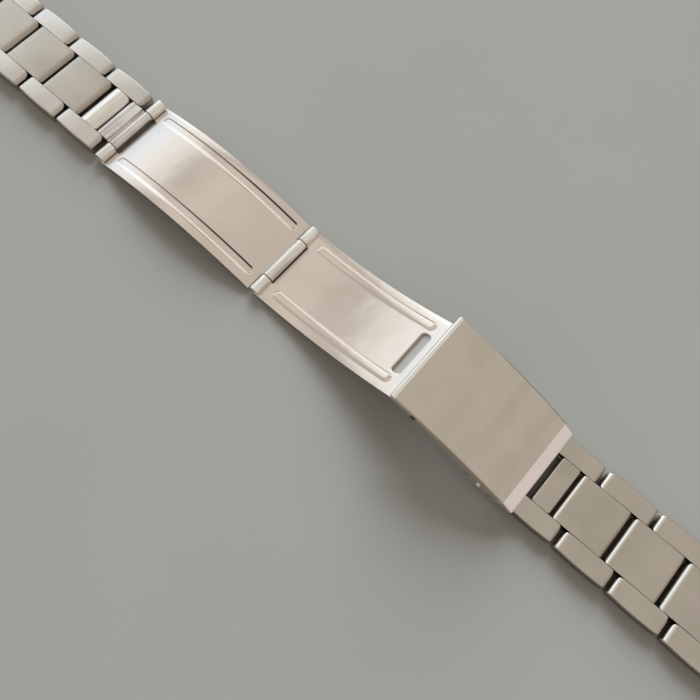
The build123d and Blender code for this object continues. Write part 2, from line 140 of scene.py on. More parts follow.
# The steel finishes. Tones run from low to high; grain and coarse are waves per millimetre along each axis.
plainLook = {
    "coarse": (0.12, 0.12, 0.12), "bands": 0.5, "marks": 1.0, "wave": 0.3, "gain": 0.6,
    "creaseShaded": False, "paintedShadeShare": 0.0,
}
looks = {
    "brushedLinks": {
        "low": (0.42, 0.385, 0.33), "high": (0.59, 0.55, 0.49), "grain": (0.25, 14, 14),
        "rough": 0.32, "shine": 0.18, "depth": 0.2, "bands": 1.0, "paintedShadeShare": 0.85,
    },
    # the left chain's centre links: the same steel with less painted shade low down and on faces turned to +X
    "lessShadedLinks": {
        "low": (0.42, 0.385, 0.33), "high": (0.59, 0.55, 0.49), "grain": (0.25, 14, 14),
        "rough": 0.32, "shine": 0.18, "depth": 0.2, "bands": 1.0, "paintedShadeShare": 0.4,
    },
    "brushedOuterLinks": {
        "low": (0.44, 0.40, 0.345), "high": (0.60, 0.56, 0.505), "grain": (0.25, 12, 12),
        "rough": 0.25, "shine": 0.12, "depth": 0.08, "bands": 1.0, "paintedShadeShare": 0.75,
    },
    # the left chain's outer links: a paler copy of the outer links' steel, painted light, with less painted shade
    "paleLitOuterLinks": {
        "low": (0.55, 0.52, 0.485), "high": (0.72, 0.69, 0.655), "grain": (0.25, 8, 8),
        "rough": 0.28, "shine": 0.12, "depth": 0.06, "bands": 0.7, "paintedShadeShare": 0.45, "gain": 0.4,
    },
    # the left spacer bar: a paler copy of the link steel, painted light
    "litRoundedBar": {
        "low": (0.64, 0.60, 0.545), "high": (0.92, 0.885, 0.84), "grain": (5, 0.3, 5),
        "rough": 0.24, "shine": 0.12, "depth": 0.4, "gain": 1.6,
    },
    "brushedKnuckles": {
        "low": (0.66, 0.63, 0.59), "high": (1.0, 0.98, 0.94), "grain": (4, 0.12, 4),
        "rough": 0.38, "shine": 0.16, "depth": 0.8, "gain": 3.2,
    },
    "brushedConnector": {
        "low": (0.42, 0.39, 0.375), "high": (0.93, 0.89, 0.87), "grain": (3.5, 0.1, 3.5),
        "rough": 0.42, "shine": 0.16, "depth": 1.0, "gain": 2.6,
    },
    "polishedBlades": {
        "low": (0.69, 0.62, 0.56), "high": (0.77, 0.70, 0.65), "grain": (0.08, 1.2, 1.2),
        "rough": 0.25, "shine": 0.05, "depth": 0.0, "coarse": (0.16, 0.12, 0.16),
        "bands": 0.8, "marks": 0.2, "wave": 5.0, "creaseShaded": True,
    },
    "brushedCover": {
        "low": (0.53, 0.485, 0.42), "high": (0.67, 0.615, 0.55), "grain": (0.2, 16, 16),
        "rough": 0.37, "shine": 0.16, "depth": 0.2, "coarse": (0.3, 0.03, 0.3),
        "bands": 1.3, "wave": 1.5, "creaseShaded": True,
    },
    # the cover's side walls: a paler copy of the cover's steel, a painted reflection
    "polishedWallsPaintedLight": {
        "low": (0.70, 0.66, 0.60), "high": (0.86, 0.82, 0.76), "grain": (0.3, 3, 3),
        "rough": 0.3, "shine": 0.1, "depth": 0.1, "creaseShaded": True,
    },
    "polishedStrip": {
        "low": (0.86, 0.78, 0.78), "high": (0.98, 0.90, 0.90), "grain": (6, 0.3, 6),
        "rough": 0.3, "shine": 0.1, "depth": 0.08,
    },
    "polishedLip": {
        "low": (0.84, 0.82, 0.79), "high": (0.96, 0.94, 0.91), "grain": (8, 0.3, 8),
        "rough": 0.3, "shine": 0.1, "depth": 0.1,
    },
    "mattRecess": {
        "low": (0.53, 0.51, 0.48), "high": (0.63, 0.605, 0.575), "grain": (2, 2, 2),
        "rough": 0.55, "shine": 0.1, "depth": 0.1,
    },
    "plainPins": {
        "low": (0.38, 0.315, 0.26), "high": (0.52, 0.455, 0.40), "grain": (9, 0.4, 9),
        "rough": 0.35, "shine": 0.2, "depth": 0.2,
    },
}
wearAndPaintedLight = {
    "drift": (0.16, 0.2, 0.2), "tint": (0.99, 0.95, 0.97), "tintShare": 0.6,
    "scratch": (0.9, 9.0, 9.0), "scratchFrom": 0.66,
    # Slow tint and scratches are the steel's own; the three colours on the next line are painted shade in creases,
    # a painted highlight on faces turned to -X, and painted shade low down between the links and on faces turned
    # to +X.
    "creaseShade": (0.10, 0.08, 0.06), "paintedHighlight": (0.97, 0.94, 0.89), "paintedShade": (0.19, 0.12, 0.065),
    "edgeFrom": 0.15, "shadeTop": 1.75, "relief": 0.02,
}


def steel(name):
    look = {**plainLook, **looks[name]}
    paint = Paint(bpy.data.materials.new(name))
    lines = paint.noise(look["grain"], 4.0, 0.6)  # brushing
    cloud = paint.noise(look["coarse"], 2.0)  # slow change of tone and shine
    drift = paint.noise(wearAndPaintedLight["drift"], 1.0)  # slow change of tint
    scratch = (paint.noise(wearAndPaintedLight["scratch"], 1.0) - wearAndPaintedLight["scratchFrom"]).clamp() * (3.0 * look["marks"])
    tone = ((lines - 0.5) * look["gain"] + (cloud - 0.5) * look["bands"] + 0.5).clamp()
    colour = paint.mix(tone, look["low"], look["high"])
    tinted = tuple(a * b for a, b in zip(look["high"], wearAndPaintedLight["tint"]))
    colour = paint.mix(((drift - 0.4) * 3.0).clamp() * wearAndPaintedLight["tintShare"], colour, tinted)
    creaseShadeMask = 0.0
    # painted shade along the blades' channels and along the cover's groove and far edge, kept on the mesh's points
    if look["creaseShaded"]:
        creaseShadeMask = paint.mark("creaseShade")
        colour = paint.mix(creaseShadeMask, colour, wearAndPaintedLight["creaseShade"])
    if look["paintedShadeShare"]:  # painted highlight on faces turned to -X; painted shade low down between the links and on faces turned to +X
        height = paint.split(paint.stretched((1, 1, 1)), "Z")
        facing = paint.split(Wire(paint, paint.texture.outputs["Normal"]), "X")
        paintedHighlight = ((facing * -1.0 - wearAndPaintedLight["edgeFrom"]) * 2.5).clamp() * 0.8
        colour = paint.mix(paintedHighlight, colour, wearAndPaintedLight["paintedHighlight"])
        deep = ((wearAndPaintedLight["shadeTop"] - height) * 1.5).clamp()
        turned = ((facing - wearAndPaintedLight["edgeFrom"]) * 1.7).clamp() * 0.8
        colour = paint.mix((deep + turned).clamp() * look["paintedShadeShare"], colour, wearAndPaintedLight["paintedShade"])
    shine = (lines - 0.5) * look["shine"] + (cloud - 0.5) * look["shine"]
    relief = lines * look["depth"] + scratch * (0.3 * look["depth"]) + cloud * look["wave"]
    return paint.finish(
        Base_Color=colour,
        Metallic=1.0,
        Roughness=(look["rough"] + shine + scratch * 0.1 + creaseShadeMask * 0.4).clamp(),
        Normal=paint.bump(relief, 1.0, wearAndPaintedLight["relief"]),
    )


metal = {name: steel(name) for name in looks}
print("steel finishes made:", len(metal))


def pulledOn(bm, face):  # extrudes a face and gives the new one
    result = bmesh.ops.extrude_face_region(bm, geom=[face, *face.edges, *face.verts])
    return [part for part in result["geom"] if isinstance(part, bmesh.types.BMFace)][0]


def banded(bm, row):  # a long end face split into quads across it
    for i in range(1, len(row) // 2 - 1):
        bmesh.ops.connect_verts(bm, verts=[row[i], row[-1 - i]])


def drawn(bm, rings):  # a face extruded on from ring to ring
    first = row = [bm.verts.new(Vector(place) * mm) for place in rings[0]]
    face = bm.faces.new(row)
    for ring in rings[1:]:
        face = pulledOn(bm, face)
        fresh = set(face.verts)
        row = [[e.other_vert(vert) for e in vert.link_edges if e.other_vert(vert) in fresh][0] for vert in row]
        for vert, place in zip(row, ring):
            vert.co = Vector(place) * mm
    banded(bm, first)
    banded(bm, row)


def arc(cx, cz, radius, start, end, steps):  # degrees from +X towards +Z
    turns = [radians(start + (end - start) * k / steps) for k in range(steps + 1)]
    return [(cx + radius * cos(turn), cz + radius * sin(turn)) for turn in turns]


def spread(start, end, step):
    count = max(1, round((end - start) / step))
    return [start + (end - start) * k / count for k in range(count + 1)]


def merged(*lists):  # sorted stations without near doubles
    out = []
    for value in sorted(v for one in lists for v in one):
        if not out or value - out[-1] > 0.02:
            out.append(value)
    return out


def sheetGrid(us, vs, place, cuts=(), creaseShade=None):  # one-sided sheet with rectangular cuts (u0, u1, v0, v1)
    bm = bmesh.new()
    # each point keeps its share of painted shade
    layer = bm.verts.layers.float.new("creaseShade")
    rows, columns = len(us) - 1, len(vs) - 1
    bmesh.ops.create_grid(bm, x_segments=rows, y_segments=columns, size=1.0)
    station = {}
    for vert in bm.verts:
        u = us[round((vert.co.x + 1) / 2 * rows)]
        v = vs[round((vert.co.y + 1) / 2 * columns)]
        station[vert] = (u, v)
        vert[layer] = creaseShade(u, v) if creaseShade else 0.0
        vert.co = Vector(place(u, v)) * mm
    cut = []
    for face in bm.faces:
        u = sum(station[vert][0] for vert in face.verts) / 4
        v = sum(station[vert][1] for vert in face.verts) / 4
        if any(a < u < b and c < v < d for a, b, c, d in cuts):
            cut.append(face)
    bmesh.ops.delete(bm, geom=cut, context="FACES")
    return bm


def asObject(bm, name):
    bmesh.ops.remove_doubles(bm, verts=bm.verts, dist=0.002 * mm)
    bmesh.ops.recalc_face_normals(bm, faces=bm.faces)
    mesh = bpy.data.meshes.new(name)
    bm.to_mesh(mesh)
    bm.free()
    made = bpy.data.objects.new(name, mesh)
    bpy.context.scene.collection.objects.link(made)
    return made


def bake(made, smooth=32):  # keeps what the modifiers give
    graph = bpy.context.evaluated_depsgraph_get()
    mesh = bpy.data.meshes.new_from_object(made.evaluated_get(graph))
    made.modifiers.clear()
    made.data = mesh
    mesh.polygons.foreach_set("use_smooth", [True] * len(mesh.polygons))
    mesh.set_sharp_from_angle(angle=radians(smooth))
    return made


def soften(made, width=0.05, segments=2, angle=45):
    bevel = made.modifiers.new("bevel", "BEVEL")
    bevel.width = width * mm
    bevel.segments = segments
    bevel.limit_method = "ANGLE"
    bevel.angle_limit = radians(angle)
    return made


def thicken(made, sheet):
    solid = made.modifiers.new("sheet", "SOLIDIFY")
    solid.thickness = sheet * mm
    solid.offset = -1
    solid.use_even_offset = True
    return made


def carve(made, tool):
    cut = made.modifiers.new("cut", "BOOLEAN")
    cut.operation = "DIFFERENCE"
    cut.object = tool
    bake(made)
    bpy.data.objects.remove(tool)
    return made


def settle(made, paint, *nodes):
    if len(made.data.materials) < 2:
        made.data.materials.clear()
        made.data.materials.append(paint)
    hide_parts(*nodes)
    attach(made, bodyOf[nodes[0]])
    return made


def rod(bm, x, z, radius, yFrom, yTo, ease=0.12, steps=56):  # solid round bar along Y
    middle = Vector((x, (yFrom + yTo) / 2, z)) * mm
    turned = Matrix.Translation(middle) @ Matrix.Rotation(pi / 2, 4, "X")
    made = bmesh.ops.create_cone(
        bm, cap_ends=True, segments=steps, radius1=radius * mm, radius2=radius * mm,
        depth=(yTo - yFrom) * mm, matrix=turned,
    )
    faces = {face for vert in made["verts"] for face in vert.link_faces}
    rims = [edge for face in faces if len(face.verts) > 4 for edge in face.edges]
    bmesh.ops.bevel(bm, geom=rims, offset=ease * mm, segments=2, profile=0.5, affect="EDGES", material=-1)


# Folded links. Lengths are in millimetres here and in all that follows.
link = {
    "height": 2.5, "sheet": 0.45, "centre": 8.9, "side": 0.08, "seam": 0.3,
    "round": 0.9, "under": 0.4, "barRound": 0.3, "corner": 0.5, "outerCorner": 0.75,
    "crown": 0.2, "ease": 0.35, "arch": 0.07, "outerArch": 0.16, "barArch": 0.5,
    "topFrom": 0.1, "lowFrom": 0.35, "innerPull": 0.2, "edge": 0.06, "outerEdge": 0.04,
}
unpulled = 9  # so far in from the link's side that no corner is rounded there


def linkOutline(xFrom, xTo, inset=0.0, rise=None, steps=8, flats=10, arch=0.0):
    half = link["height"] / 2 - inset
    z = link["height"] / 2
    topRound = max(0.02, (rise or link["round"]) - inset)
    lowRound = max(0.02, link["under"] - inset)
    a, b = xFrom + inset, xTo - inset
    top = [(a, z - link["topFrom"])] + arc(a + topRound, z + half - topRound, topRound, 180, 90, steps)
    flat = spread(a + topRound, b - topRound, (b - a - 2 * topRound) / flats)[1:-1]
    top += [(x, z + half) for x in flat]
    top += arc(b - topRound, z + half - topRound, topRound, 90, 0, steps) + [(b, z - link["topFrom"])]
    top = [(x, h - arch * max(0.0, h - z) / half * (2 * (x - a) / (b - a) - 1) ** 2) for x, h in top]
    low = [(a, z - link["lowFrom"])] + arc(a + lowRound, z - half + lowRound, lowRound, 180, 270, steps)
    flat = spread(a + lowRound, b - lowRound, (b - a - 2 * lowRound) / flats)[1:-1]
    low += [(x, z - half) for x in flat]
    low += arc(b - lowRound, z - half + lowRound, lowRound, 270, 360, steps) + [(b, z - link["lowFrom"])]
    return top, low  # half rings above and below, matched in number


def pulledIn(x, xFrom, xTo, depth, corner):  # plan corners rounded where depth from the link's side is small
    if depth >= corner:
        return x
    cut = corner - sqrt(corner**2 - (corner - depth) ** 2)
    return min(max(x, xFrom + cut), xTo - cut)


def cornerSteps(corner):  # depths from the side, closer towards the side
    return [corner * (1 - cos(radians(90 * k / 5))) for k in range(6)]


def loopLink(name, xFrom, xTo, node, rise=None, arch=0.0, paint=metal["brushedLinks"]):
    half = link["centre"] / 2
    corner = link["corner"]
    stations = cornerSteps(corner)
    ys = [-half + s for s in stations] + [half - s for s in reversed(stations)]
    top, low = linkOutline(xFrom, xTo, rise=rise, arch=arch)
    topIn, lowIn = linkOutline(xFrom, xTo, link["sheet"], rise, arch=arch)
    middle = (xFrom + xTo) / 2
    gap = link["seam"] / 2

    def strip(upper, lower):  # starts and ends at the seam underneath
        left = [p for p in lower if p[0] < middle - gap]
        right = [p for p in lower if p[0] > middle + gap]
        floor = min(z for x, z in lower)
        ends = (middle - gap, floor), (middle + gap, floor)
        return [ends[0]] + list(reversed(left)) + upper + list(reversed(right)) + [ends[1]]

    outer, inner = strip(top, low), strip(topIn, lowIn)
    pull = link["innerPull"]
    rings = []
    for y in ys:
        depth = half - abs(y)
        ring = [(pulledIn(x, xFrom, xTo, depth, corner), y, z) for x, z in outer]
        ring += [(pulledIn(x, xFrom + pull, xTo - pull, depth, corner), y, z) for x, z in reversed(inner)]
        rings.append(ring)
    bm = bmesh.new()
    drawn(bm, rings)
    return settle(bake(soften(asObject(bm, name), link["edge"])), paint, node)


def outerLink(name, xFrom, xTo, rowWidth, side, node, paint):
    yIn, yOut = link["centre"] / 2 + link["side"], rowWidth / 2
    wall = yOut - link["crown"] - link["sheet"]
    corner, ease = link["outerCorner"], link["ease"]
    middle, half = (xFrom + xTo) / 2, (xTo - xFrom) / 2

    def ring(outline, y, pull=0.0, crown=True):
        points = []
        for x, z in outline[0] + list(reversed(outline[1])):
            bulge = link["crown"] * (1 - ((x - middle) / half) ** 2) if crown else 0.0
            share = (y - yIn) / (yOut - link["crown"] - yIn)
            points.append((pulledIn(x, xFrom, xTo, pull, corner), side * (y + bulge * share), z))
        return points

    arch = link["outerArch"]
    outer = linkOutline(xFrom, xTo, arch=arch)
    inner = linkOutline(xFrom, xTo, link["sheet"], arch=arch)
    edge = yOut - link["crown"]
    rings = [ring(inner, wall, unpulled, False), ring(inner, yIn, unpulled, False)]
    rings += [ring(outer, yIn + s, s) for s in cornerSteps(corner)]
    for k in range(6):  # eased outer edge
        turn = radians(90 * k / 5)
        inset = ease * 0.75 * (1 - cos(turn))
        rings.append(ring(linkOutline(xFrom, xTo, inset, arch=arch), edge - ease + ease * sin(turn), unpulled))
    bm = bmesh.new()
    drawn(bm, rings)
    return settle(bake(soften(asObject(bm, name), link["outerEdge"], 2, 60)), paint, node)


def chainSide(side):
    # the left chain takes copies with less painted shade, and paler outer links, painted light
    centrePaint = metal["lessShadedLinks" if side == "left" else "brushedLinks"]
    outerPaint = metal["paleLitOuterLinks" if side == "left" else "brushedOuterLinks"]
    for row in range(5):
        for node in [n for n in frame["nodes"] if n.startswith(f"{side}_{row}_")]:
            low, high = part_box(node)
            xFrom, xTo = low[0] / mm, high[0] / mm
            name = node.replace("_", ".", 1) + ".folded"
            if node.endswith("spacer_bar"):
                # the left spacer bar takes a paler copy of the link steel, painted light
                if side == "left":
                    loopLink(name, xFrom, xTo, node, link["round"], link["barArch"], metal["litRoundedBar"])
                else:
                    loopLink(name, xFrom, xTo, node, link["barRound"])
            elif node.endswith("centre_link"):
                loopLink(name, xFrom, xTo, node, None, link["arch"], centrePaint)
            elif "_outer_link_" in node:
                width = 2 * max(abs(low[1]), abs(high[1])) / mm
                outward = 1 if (low[1] + high[1]) > 0 else -1
                outerLink(name, xFrom, xTo, width, outward, node, outerPaint)


chainSide("left")
chainSide("right")
print("links folded on both sides")

blade = {
    "width": 16.1, "sheet": 0.5, "eye": 1.1, "coverEye": 1.0, "hinge": 15.9, "pin": 0.56, "play": 0.04,
    "axisA": 64.3, "axisB": 65.9, "barrel": 1.05, "notch": 0.75, "foldNotch": 0.3, "knuckleGap": 0.15,
    "slit": 0.12, "slitChain": -14, "slitMiddle": 194, "slitFold": 10, "slitCover": 40,  # the last four in degrees
    "eyeEase": 0.1, "edge": 0.07, "eyeEdge": 0.04,
    "rib": 5.75, "ribHalf": 0.95, "ribRise": 0.35, "ribEnd": 3.0, "ribOver": 0.35, "ribNear": 1.1,
    "slotAt": 7.1, "slotWide": 1.9, "slotLong": 8.6, "slotRound": 0.7, "recess": 0.2, "recessSheet": 0.15,
}


def centreOf(p, radiusP, q, radiusQ, below):  # centre at given distances from two points
    dx, dz = q[0] - p[0], q[1] - p[1]
    d = hypot(dx, dz)
    along = (radiusP**2 - radiusQ**2 + d**2) / (2 * d)
    away = sqrt(radiusP**2 - along**2)
    sign = -1 if below else 1
    return p[0] + along * dx / d - sign * away * dz / d, p[1] + along * dz / d + sign * away * dx / d


chainAt = pivots["connector_hinge"]
foldAt = pivots["blade_fold"]
hingeAt = pivots["clasp_opening"]
centreA = centreOf(chainAt, blade["axisA"], foldAt, blade["axisA"], True)
centreB = centreOf(foldAt, blade["axisA"], hingeAt, blade["axisB"], False)


def angleFrom(centre, point, below):  # radians from straight up (or down), towards +X
    return atan2(point[0] - centre[0], (point[1] - centre[1]) * (1 if below else -1))


def onArc(centre, angle, radius, below):
    return centre[0] + radius * sin(angle), centre[1] + (1 if below else -1) * radius * cos(angle)


def ribShape(u, v, uFrom, uTo, offset, halfWide, edge, steep):  # 1 on the rib, 0 off it
    side = offset if v > 0 else -offset
    u = uFrom + halfWide - u if u < uFrom + halfWide else (u - uTo + halfWide if u > uTo - halfWide else 0.0)
    d = hypot(u, v - side)
    lean = 0.5 + 0.5 * (v - side) / max(d, 0.001)  # 1 on the rib's back side
    t = min(max((halfWide - d) / (edge + (steep - edge) * lean), 0.0), 1.0)
    return t * t * (3 - 2 * t)


# painted shade line along one long side of a rib
def ribShadeLine(u, v, uFrom, uTo, offset, halfWide, wide, backSide):  # 1 along one long side of a rib
    side = offset if v > 0 else -offset
    if u < uFrom + halfWide * 0.6 or u > uTo - halfWide * 0.6:
        return 0.0
    away = abs(v - side - backSide * halfWide)
    return min(max(1.6 - 1.6 * away / wide, 0.0), 1.0)


def knuckle(bm, x, z, radius, bore, yFrom, yTo, slitAt, steps=34):  # rolled eye with its slit
    gap = degrees(blade["slit"] / radius)
    start = radians(slitAt + gap / 2)
    ease = blade["eyeEase"]
    section = [(bore, yFrom), (radius - ease, yFrom), (radius - 0.3 * ease, yFrom + 0.3 * ease)]
    section += [(radius, yFrom + ease), (radius, yTo - ease)]
    section += [(radius - 0.3 * ease, yTo - 0.3 * ease), (radius - ease, yTo), (bore, yTo)]
    verts = [bm.verts.new(Vector((x + r * cos(start), y, z + r * sin(start))) * mm) for r, y in section]
    face = bm.faces.new(verts)
    bmesh.ops.spin(
        bm, geom=[face, *face.edges, *verts], cent=Vector((x, 0, z)) * mm, axis=(0, -1, 0),
        angle=radians(360 - gap), steps=steps, use_merge=False, use_duplicate=False,
    )


def outerEyes(bm, at, slitAt):
    inner = link["centre"] / 2 + blade["knuckleGap"]
    for side in (-1, 1):
        yFrom, yTo = sorted((side * inner, side * blade["hinge"] / 2))
        knuckle(bm, *at, blade["eye"], blade["pin"], yFrom, yTo, slitAt)


def ribStations(ribFrom, ribTo):  # closer at a rib's two ends
    return spread(ribFrom - 0.1, ribFrom + 1.2, 0.12), spread(ribTo - 1.2, ribTo + 0.1, 0.12)


def makeBladeA():
    half = blade["width"] / 2
    first, last = angleFrom(centreA, chainAt, True), angleFrom(centreA, foldAt, True)
    length = (last - first) * blade["axisA"]
    outside = blade["axisA"] - blade["eye"] + blade["sheet"]
    ribFrom, ribTo = blade["ribEnd"] - blade["ribOver"], length - blade["ribEnd"] + blade["ribOver"]
    edgeA, edgeB = blade["barrel"] + blade["notch"], length - blade["eye"] - blade["knuckleGap"]
    eyeHalf = link["centre"] / 2
    gapHalf = eyeHalf + blade["knuckleGap"]
    near = spread(blade["rib"] - blade["ribNear"], blade["rib"] + blade["ribNear"], 0.06)
    vs = [-half, half, -gapHalf, gapHalf, -eyeHalf, eyeHalf]
    vs = merged(vs, near, [-v for v in near], spread(-4.6, 4.6, 1.0))
    us = [0, edgeA, edgeB, length]
    us = merged(us, *ribStations(ribFrom, ribTo), spread(ribFrom + 1.2, ribTo - 1.2, 0.6))

    def place(u, v):  # the channels deepen towards the fold
        pressed = ribShape(u, v, ribFrom, ribTo, blade["rib"], blade["ribHalf"], 0.85, 0.1)
        r = outside - blade["ribRise"] * pressed * (0.5 + 0.55 * u / length)
        x, z = onArc(centreA, first + u / blade["axisA"], r, True)
        return x, v, z

    def creaseShade(u, v):  # painted shade: the far side's foot darkens towards the fold, the near side's edge in the middle
        t = u / length
        rim = blade["ribHalf"] - 0.1
        far = ribShadeLine(u, v, ribFrom, ribTo, blade["rib"], rim, 0.10 + 0.09 * t, 1)
        close = ribShadeLine(u, v, ribFrom, ribTo, blade["rib"], rim, 0.10, -1)
        return max(far * min(max(2.2 * t - 0.5, 0.1), 1.0), close * max(0.0, 0.7 - 3.5 * abs(t - 0.6)))

    cuts = [(-1, edgeA, -gapHalf, gapHalf)]
    cuts += [(edgeB, length + 1, eyeHalf, half + 1), (edgeB, length + 1, -half - 1, -eyeHalf)]
    bm = sheetGrid(us, vs, place, cuts, creaseShade)
    sheet = bake(soften(thicken(asObject(bm, "bladeA.sheet"), blade["sheet"]), blade["edge"]))
    bm = bmesh.new()
    outerEyes(bm, chainAt, blade["slitChain"])
    knuckle(bm, *foldAt, blade["eye"], blade["pin"] + blade["play"], -eyeHalf, eyeHalf, blade["slitMiddle"])
    eyes = bake(soften(asObject(bm, "bladeA.knuckles"), blade["eyeEdge"]))
    return sheet, eyes


def makeBladeB():
    half = blade["width"] / 2
    first, last = angleFrom(centreB, foldAt, False), angleFrom(centreB, hingeAt, False)
    inside = blade["axisA"] + blade["eye"] - blade["sheet"]
    length = (last - first) * inside
    ribFrom, ribTo = blade["ribEnd"] - blade["ribOver"], length - blade["slotAt"] + blade["ribOver"]
    edge = blade["eye"] + blade["foldNotch"]
    gapHalf = link["centre"] / 2 + blade["knuckleGap"]
    near = spread(blade["rib"] - blade["ribNear"], blade["rib"] + blade["ribNear"], 0.1)
    slotFrom = length - blade["slotAt"] - blade["slotWide"] / 2
    slotTo = length - blade["slotAt"] + blade["slotWide"] / 2
    slotHalf = blade["slotLong"] / 2
    r = blade["slotRound"]
    vs = [-half, half, -gapHalf, gapHalf, -slotHalf, slotHalf, r - slotHalf, slotHalf - r]
    vs = merged(vs, near, [-v for v in near], spread(-3.6, 3.6, 0.9))
    us = merged(
        [0, edge, slotFrom, slotFrom + r, slotTo - r, slotTo, length], *ribStations(ribFrom, ribTo),
        spread(ribFrom + 1.2, slotFrom - 0.3, 0.6), spread(ribTo + 0.3, length, 0.8),
    )

    def place(u, v):
        raised = ribShape(u, v, ribFrom, ribTo, blade["rib"], blade["ribHalf"] - 0.05, 0.85, 0.6)
        x, z = onArc(centreB, first + u / inside, inside - 0.75 * blade["ribRise"] * raised, False)
        return x, v, z

    bm = sheetGrid(us, vs, place, [(-1, edge, -gapHalf, gapHalf), (slotFrom, slotTo, -slotHalf, slotHalf)])
    for u, toU in ((slotFrom, 1), (slotTo, -1)):
        for v, toV in ((-slotHalf, 1), (slotHalf, -1)):  # fills the corner outside a quarter round
            turns = [radians(90 * k / 6) for k in range(7)]
            curve = [place(u + toU * r * (1 - cos(t)), v + toV * r * (1 - sin(t))) for t in turns]
            ring = [bm.verts.new(Vector(point) * mm) for point in curve]
            tip = bm.verts.new(Vector(place(u, v)) * mm)
            for a, b in zip(ring, ring[1:]):
                bm.faces.new((tip, a, b))
    sheet = bake(soften(thicken(asObject(bm, "bladeB.sheet"), blade["sheet"]), blade["edge"]))

    def lowered(u, v):
        x, z = onArc(centreB, first + u / inside, inside + blade["recess"], False)
        return x, v, z

    bm = sheetGrid(spread(slotFrom, slotTo, 0.3), spread(-slotHalf, slotHalf, 0.6), lowered)
    plate = bake(thicken(asObject(bm, "bladeB.recess"), blade["recessSheet"]))
    settle(plate, metal["mattRecess"], "cover_side_blade")
    bm = bmesh.new()
    outerEyes(bm, foldAt, blade["slitFold"])
    reach = blade["hinge"] / 2
    knuckle(bm, *hingeAt, blade["coverEye"], blade["pin"] + blade["play"], -reach, reach, blade["slitCover"])
    eyes = bake(soften(asObject(bm, "bladeB.knuckles"), blade["eyeEdge"]))
    return sheet, eyes


for node, (bladeSheet, bladeEyes) in (("chain_side_blade", makeBladeA()), ("cover_side_blade", makeBladeB())):
    settle(bladeSheet, metal["polishedBlades"], node)
    settle(bladeEyes, metal["brushedKnuckles"], node)
print("blades pressed and their eyes rolled")

cover = {
    "radius": 67.4, "barAxis": 64.5, "width": 17.1, "sheet": 0.4, "length": 26.8, "ease": 0.4, "edge": 0.06,
    "lip": 0.55, "lipEase": 0.15, "rise": 0.12, "bevel": 2.6, "turn": 8.0, "depthLip": 1.6, "endDrop": 0.45,
    "stripDeep": 0.42, "inset": 2.3, "hinge": 4.5, "groove": 0.12, "grooveWide": 0.55, "drop": 0.5,
    "holes": 3, "step": 2.6, "first": 3.8, "holeDrop": 2.9, "hole": 0.47, "rows": 9,
}
centreC = centreOf(hingeAt, blade["axisB"], pivots["strap_swing"], cover["barAxis"], True)


